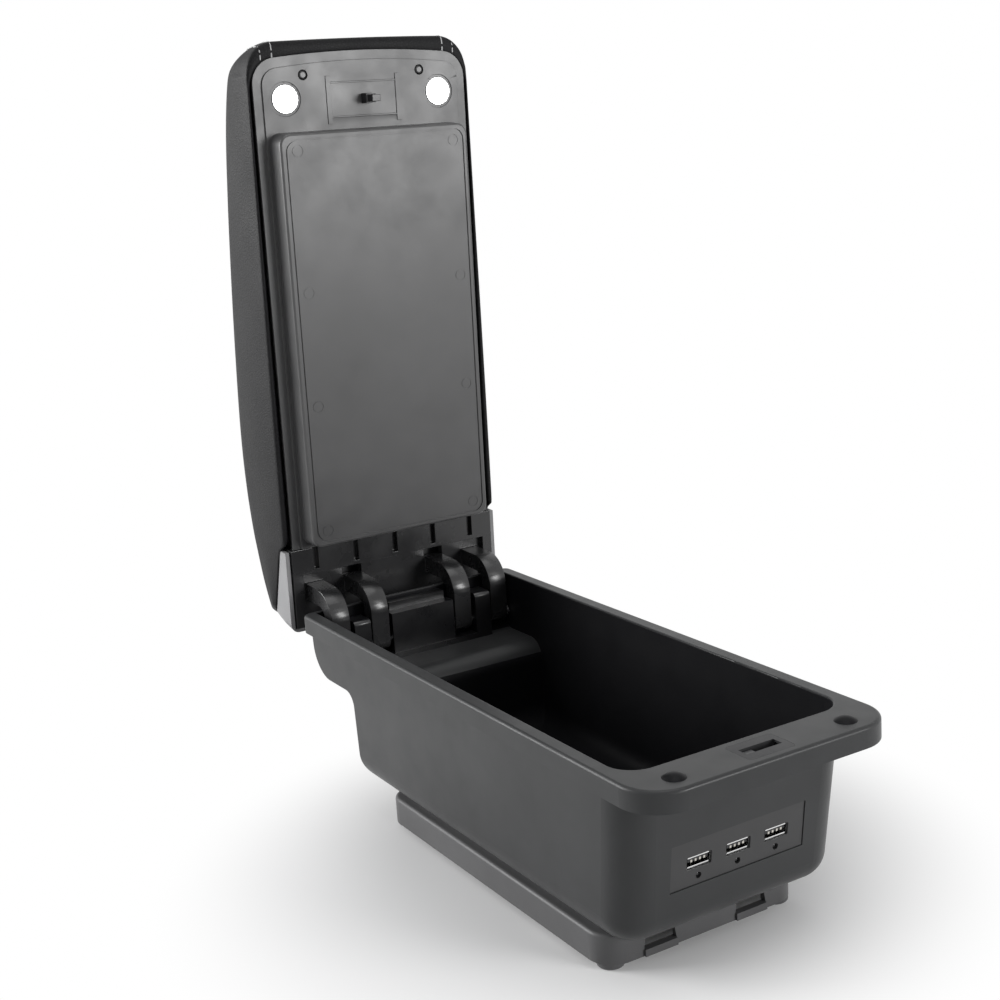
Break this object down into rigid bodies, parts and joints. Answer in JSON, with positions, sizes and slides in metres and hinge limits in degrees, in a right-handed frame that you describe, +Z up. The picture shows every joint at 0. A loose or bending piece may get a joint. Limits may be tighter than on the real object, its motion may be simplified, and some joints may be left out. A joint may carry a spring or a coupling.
{
  "type": "armrest storage box",
  "caption": "Car console armrest box: a deep moulded tub with a padded lid hinged on swan-neck arms at the rear, a magnet and hook latch, and power sockets in the front wall.",
  "frame": {"origin": "on the surface it stands on, under the middle of the base", "axes": "+Z up, -Y towards the front wall with the sockets, and the lid's hinge along X"},
  "size_m": [0.1372, 0.4007, 0.417],
  "materials": {
    "tub_plastic": "fine-grained satin moulding",
    "base_plastic": "matt moulding",
    "bracket_plastic": "satin moulding",
    "insert_plastic": "satin moulding",
    "catch_plastic": "satin moulding",
    "lid_plastic": "fine-grained satin moulding",
    "frame_plastic": "satin moulding",
    "cap_plastic": "satin moulding",
    "socket_panel": "matt moulding",
    "socket_tongue": "smooth moulding",
    "board": "lacquered laminate",
    "lamp": "clear tinted",
    "pad_cover": "black grained leatherette over foam",
    "socket_shell": "bright plate",
    "screw_steel": "dark plated",
    "pin_steel": "ground",
    "strike_steel": "black plated",
    "magnet_metal": "nickel plated"
  },
  "bodies": {
    "box": {"storage_tub": "tub_plastic", "base_tray": "base_plastic", "base_screws": "screw_steel", "hinge_bracket": "bracket_plastic", "bracket_screws": "screw_steel", "latch_insert": "insert_plastic", "hinge_pin_left": "pin_steel", "hinge_pin_right": "pin_steel", "rim_strike_left": "strike_steel", "rim_strike_right": "strike_steel", "usb_panel": "socket_panel", "usb_board": "board", "usb_cover": "tub_plastic", "usb_shell_left": "socket_shell", "usb_shell_centre": "socket_shell", "usb_shell_right": "socket_shell", "usb_tongue_left": "socket_tongue", "usb_tongue_centre": "socket_tongue", "usb_tongue_right": "socket_tongue", "usb_led_left": "lamp", "usb_led_centre": "lamp", "usb_led_right": "lamp"},
    "lid": {"lid_inner_plate": "lid_plastic", "lid_panel": "lid_plastic", "hinge_frame": "frame_plastic", "lid_shell": "lid_plastic", "lid_pad": "pad_cover", "rear_cap": "cap_plastic", "latch_hook": "catch_plastic", "lid_screws": "screw_steel", "lid_magnet_left": "magnet_metal", "lid_magnet_right": "magnet_metal"},
    "catch": {"latch_catch": "catch_plastic"}
  },
  "joints": [
    {"name": "lid_hinge", "type": "hinge", "parent": "box", "child": "lid", "pos_m": [0, 0.1565, 0.0835], "axis": [1, 0, 0], "range_deg": [0, 88]},
    {"name": "catch_slide", "type": "slide", "parent": "box", "child": "catch", "axis": [1, 0, 0], "range_m": [-0.0016, 0], "stiffness_N_per_m": 200}
  ]
}
